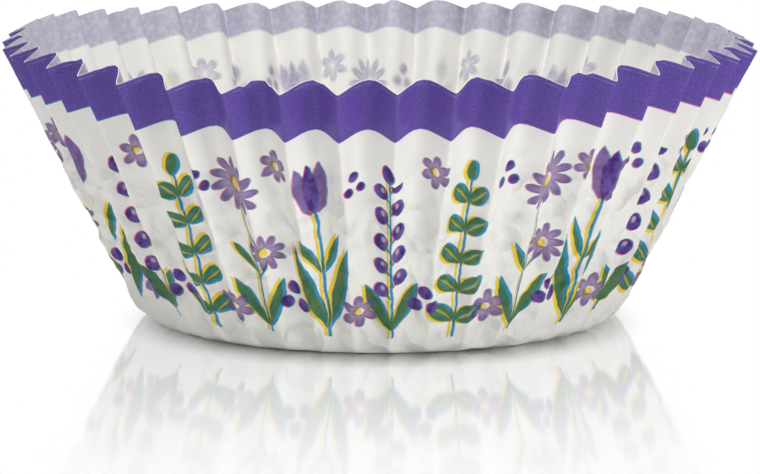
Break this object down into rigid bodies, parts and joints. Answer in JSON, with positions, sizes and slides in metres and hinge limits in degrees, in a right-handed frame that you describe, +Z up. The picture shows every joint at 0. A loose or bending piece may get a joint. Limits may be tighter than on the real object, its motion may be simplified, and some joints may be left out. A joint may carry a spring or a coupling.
{
  "type": "paper baking cup",
  "caption": "Pleated greaseproof paper cup with a flat round floor and an outward-leaning fluted wall, which lines a muffin tin hole and holds a small cake.",
  "frame": {"origin": "under the middle of the flat floor, on the surface that the cup stands on", "axes": "+Z up out of the mouth along the cup's axis; one outer ridge of the flutes lies on each of +X, +Y, -X and -Y"},
  "size_m": [0.0806, 0.0806, 0.0299],
  "materials": {
    "printed_paper": "smooth greaseproof paper, printed outside"
  },
  "bodies": {
    "root": {"paper_baking_cup": "printed_paper"}
  },
  "joints": []
}
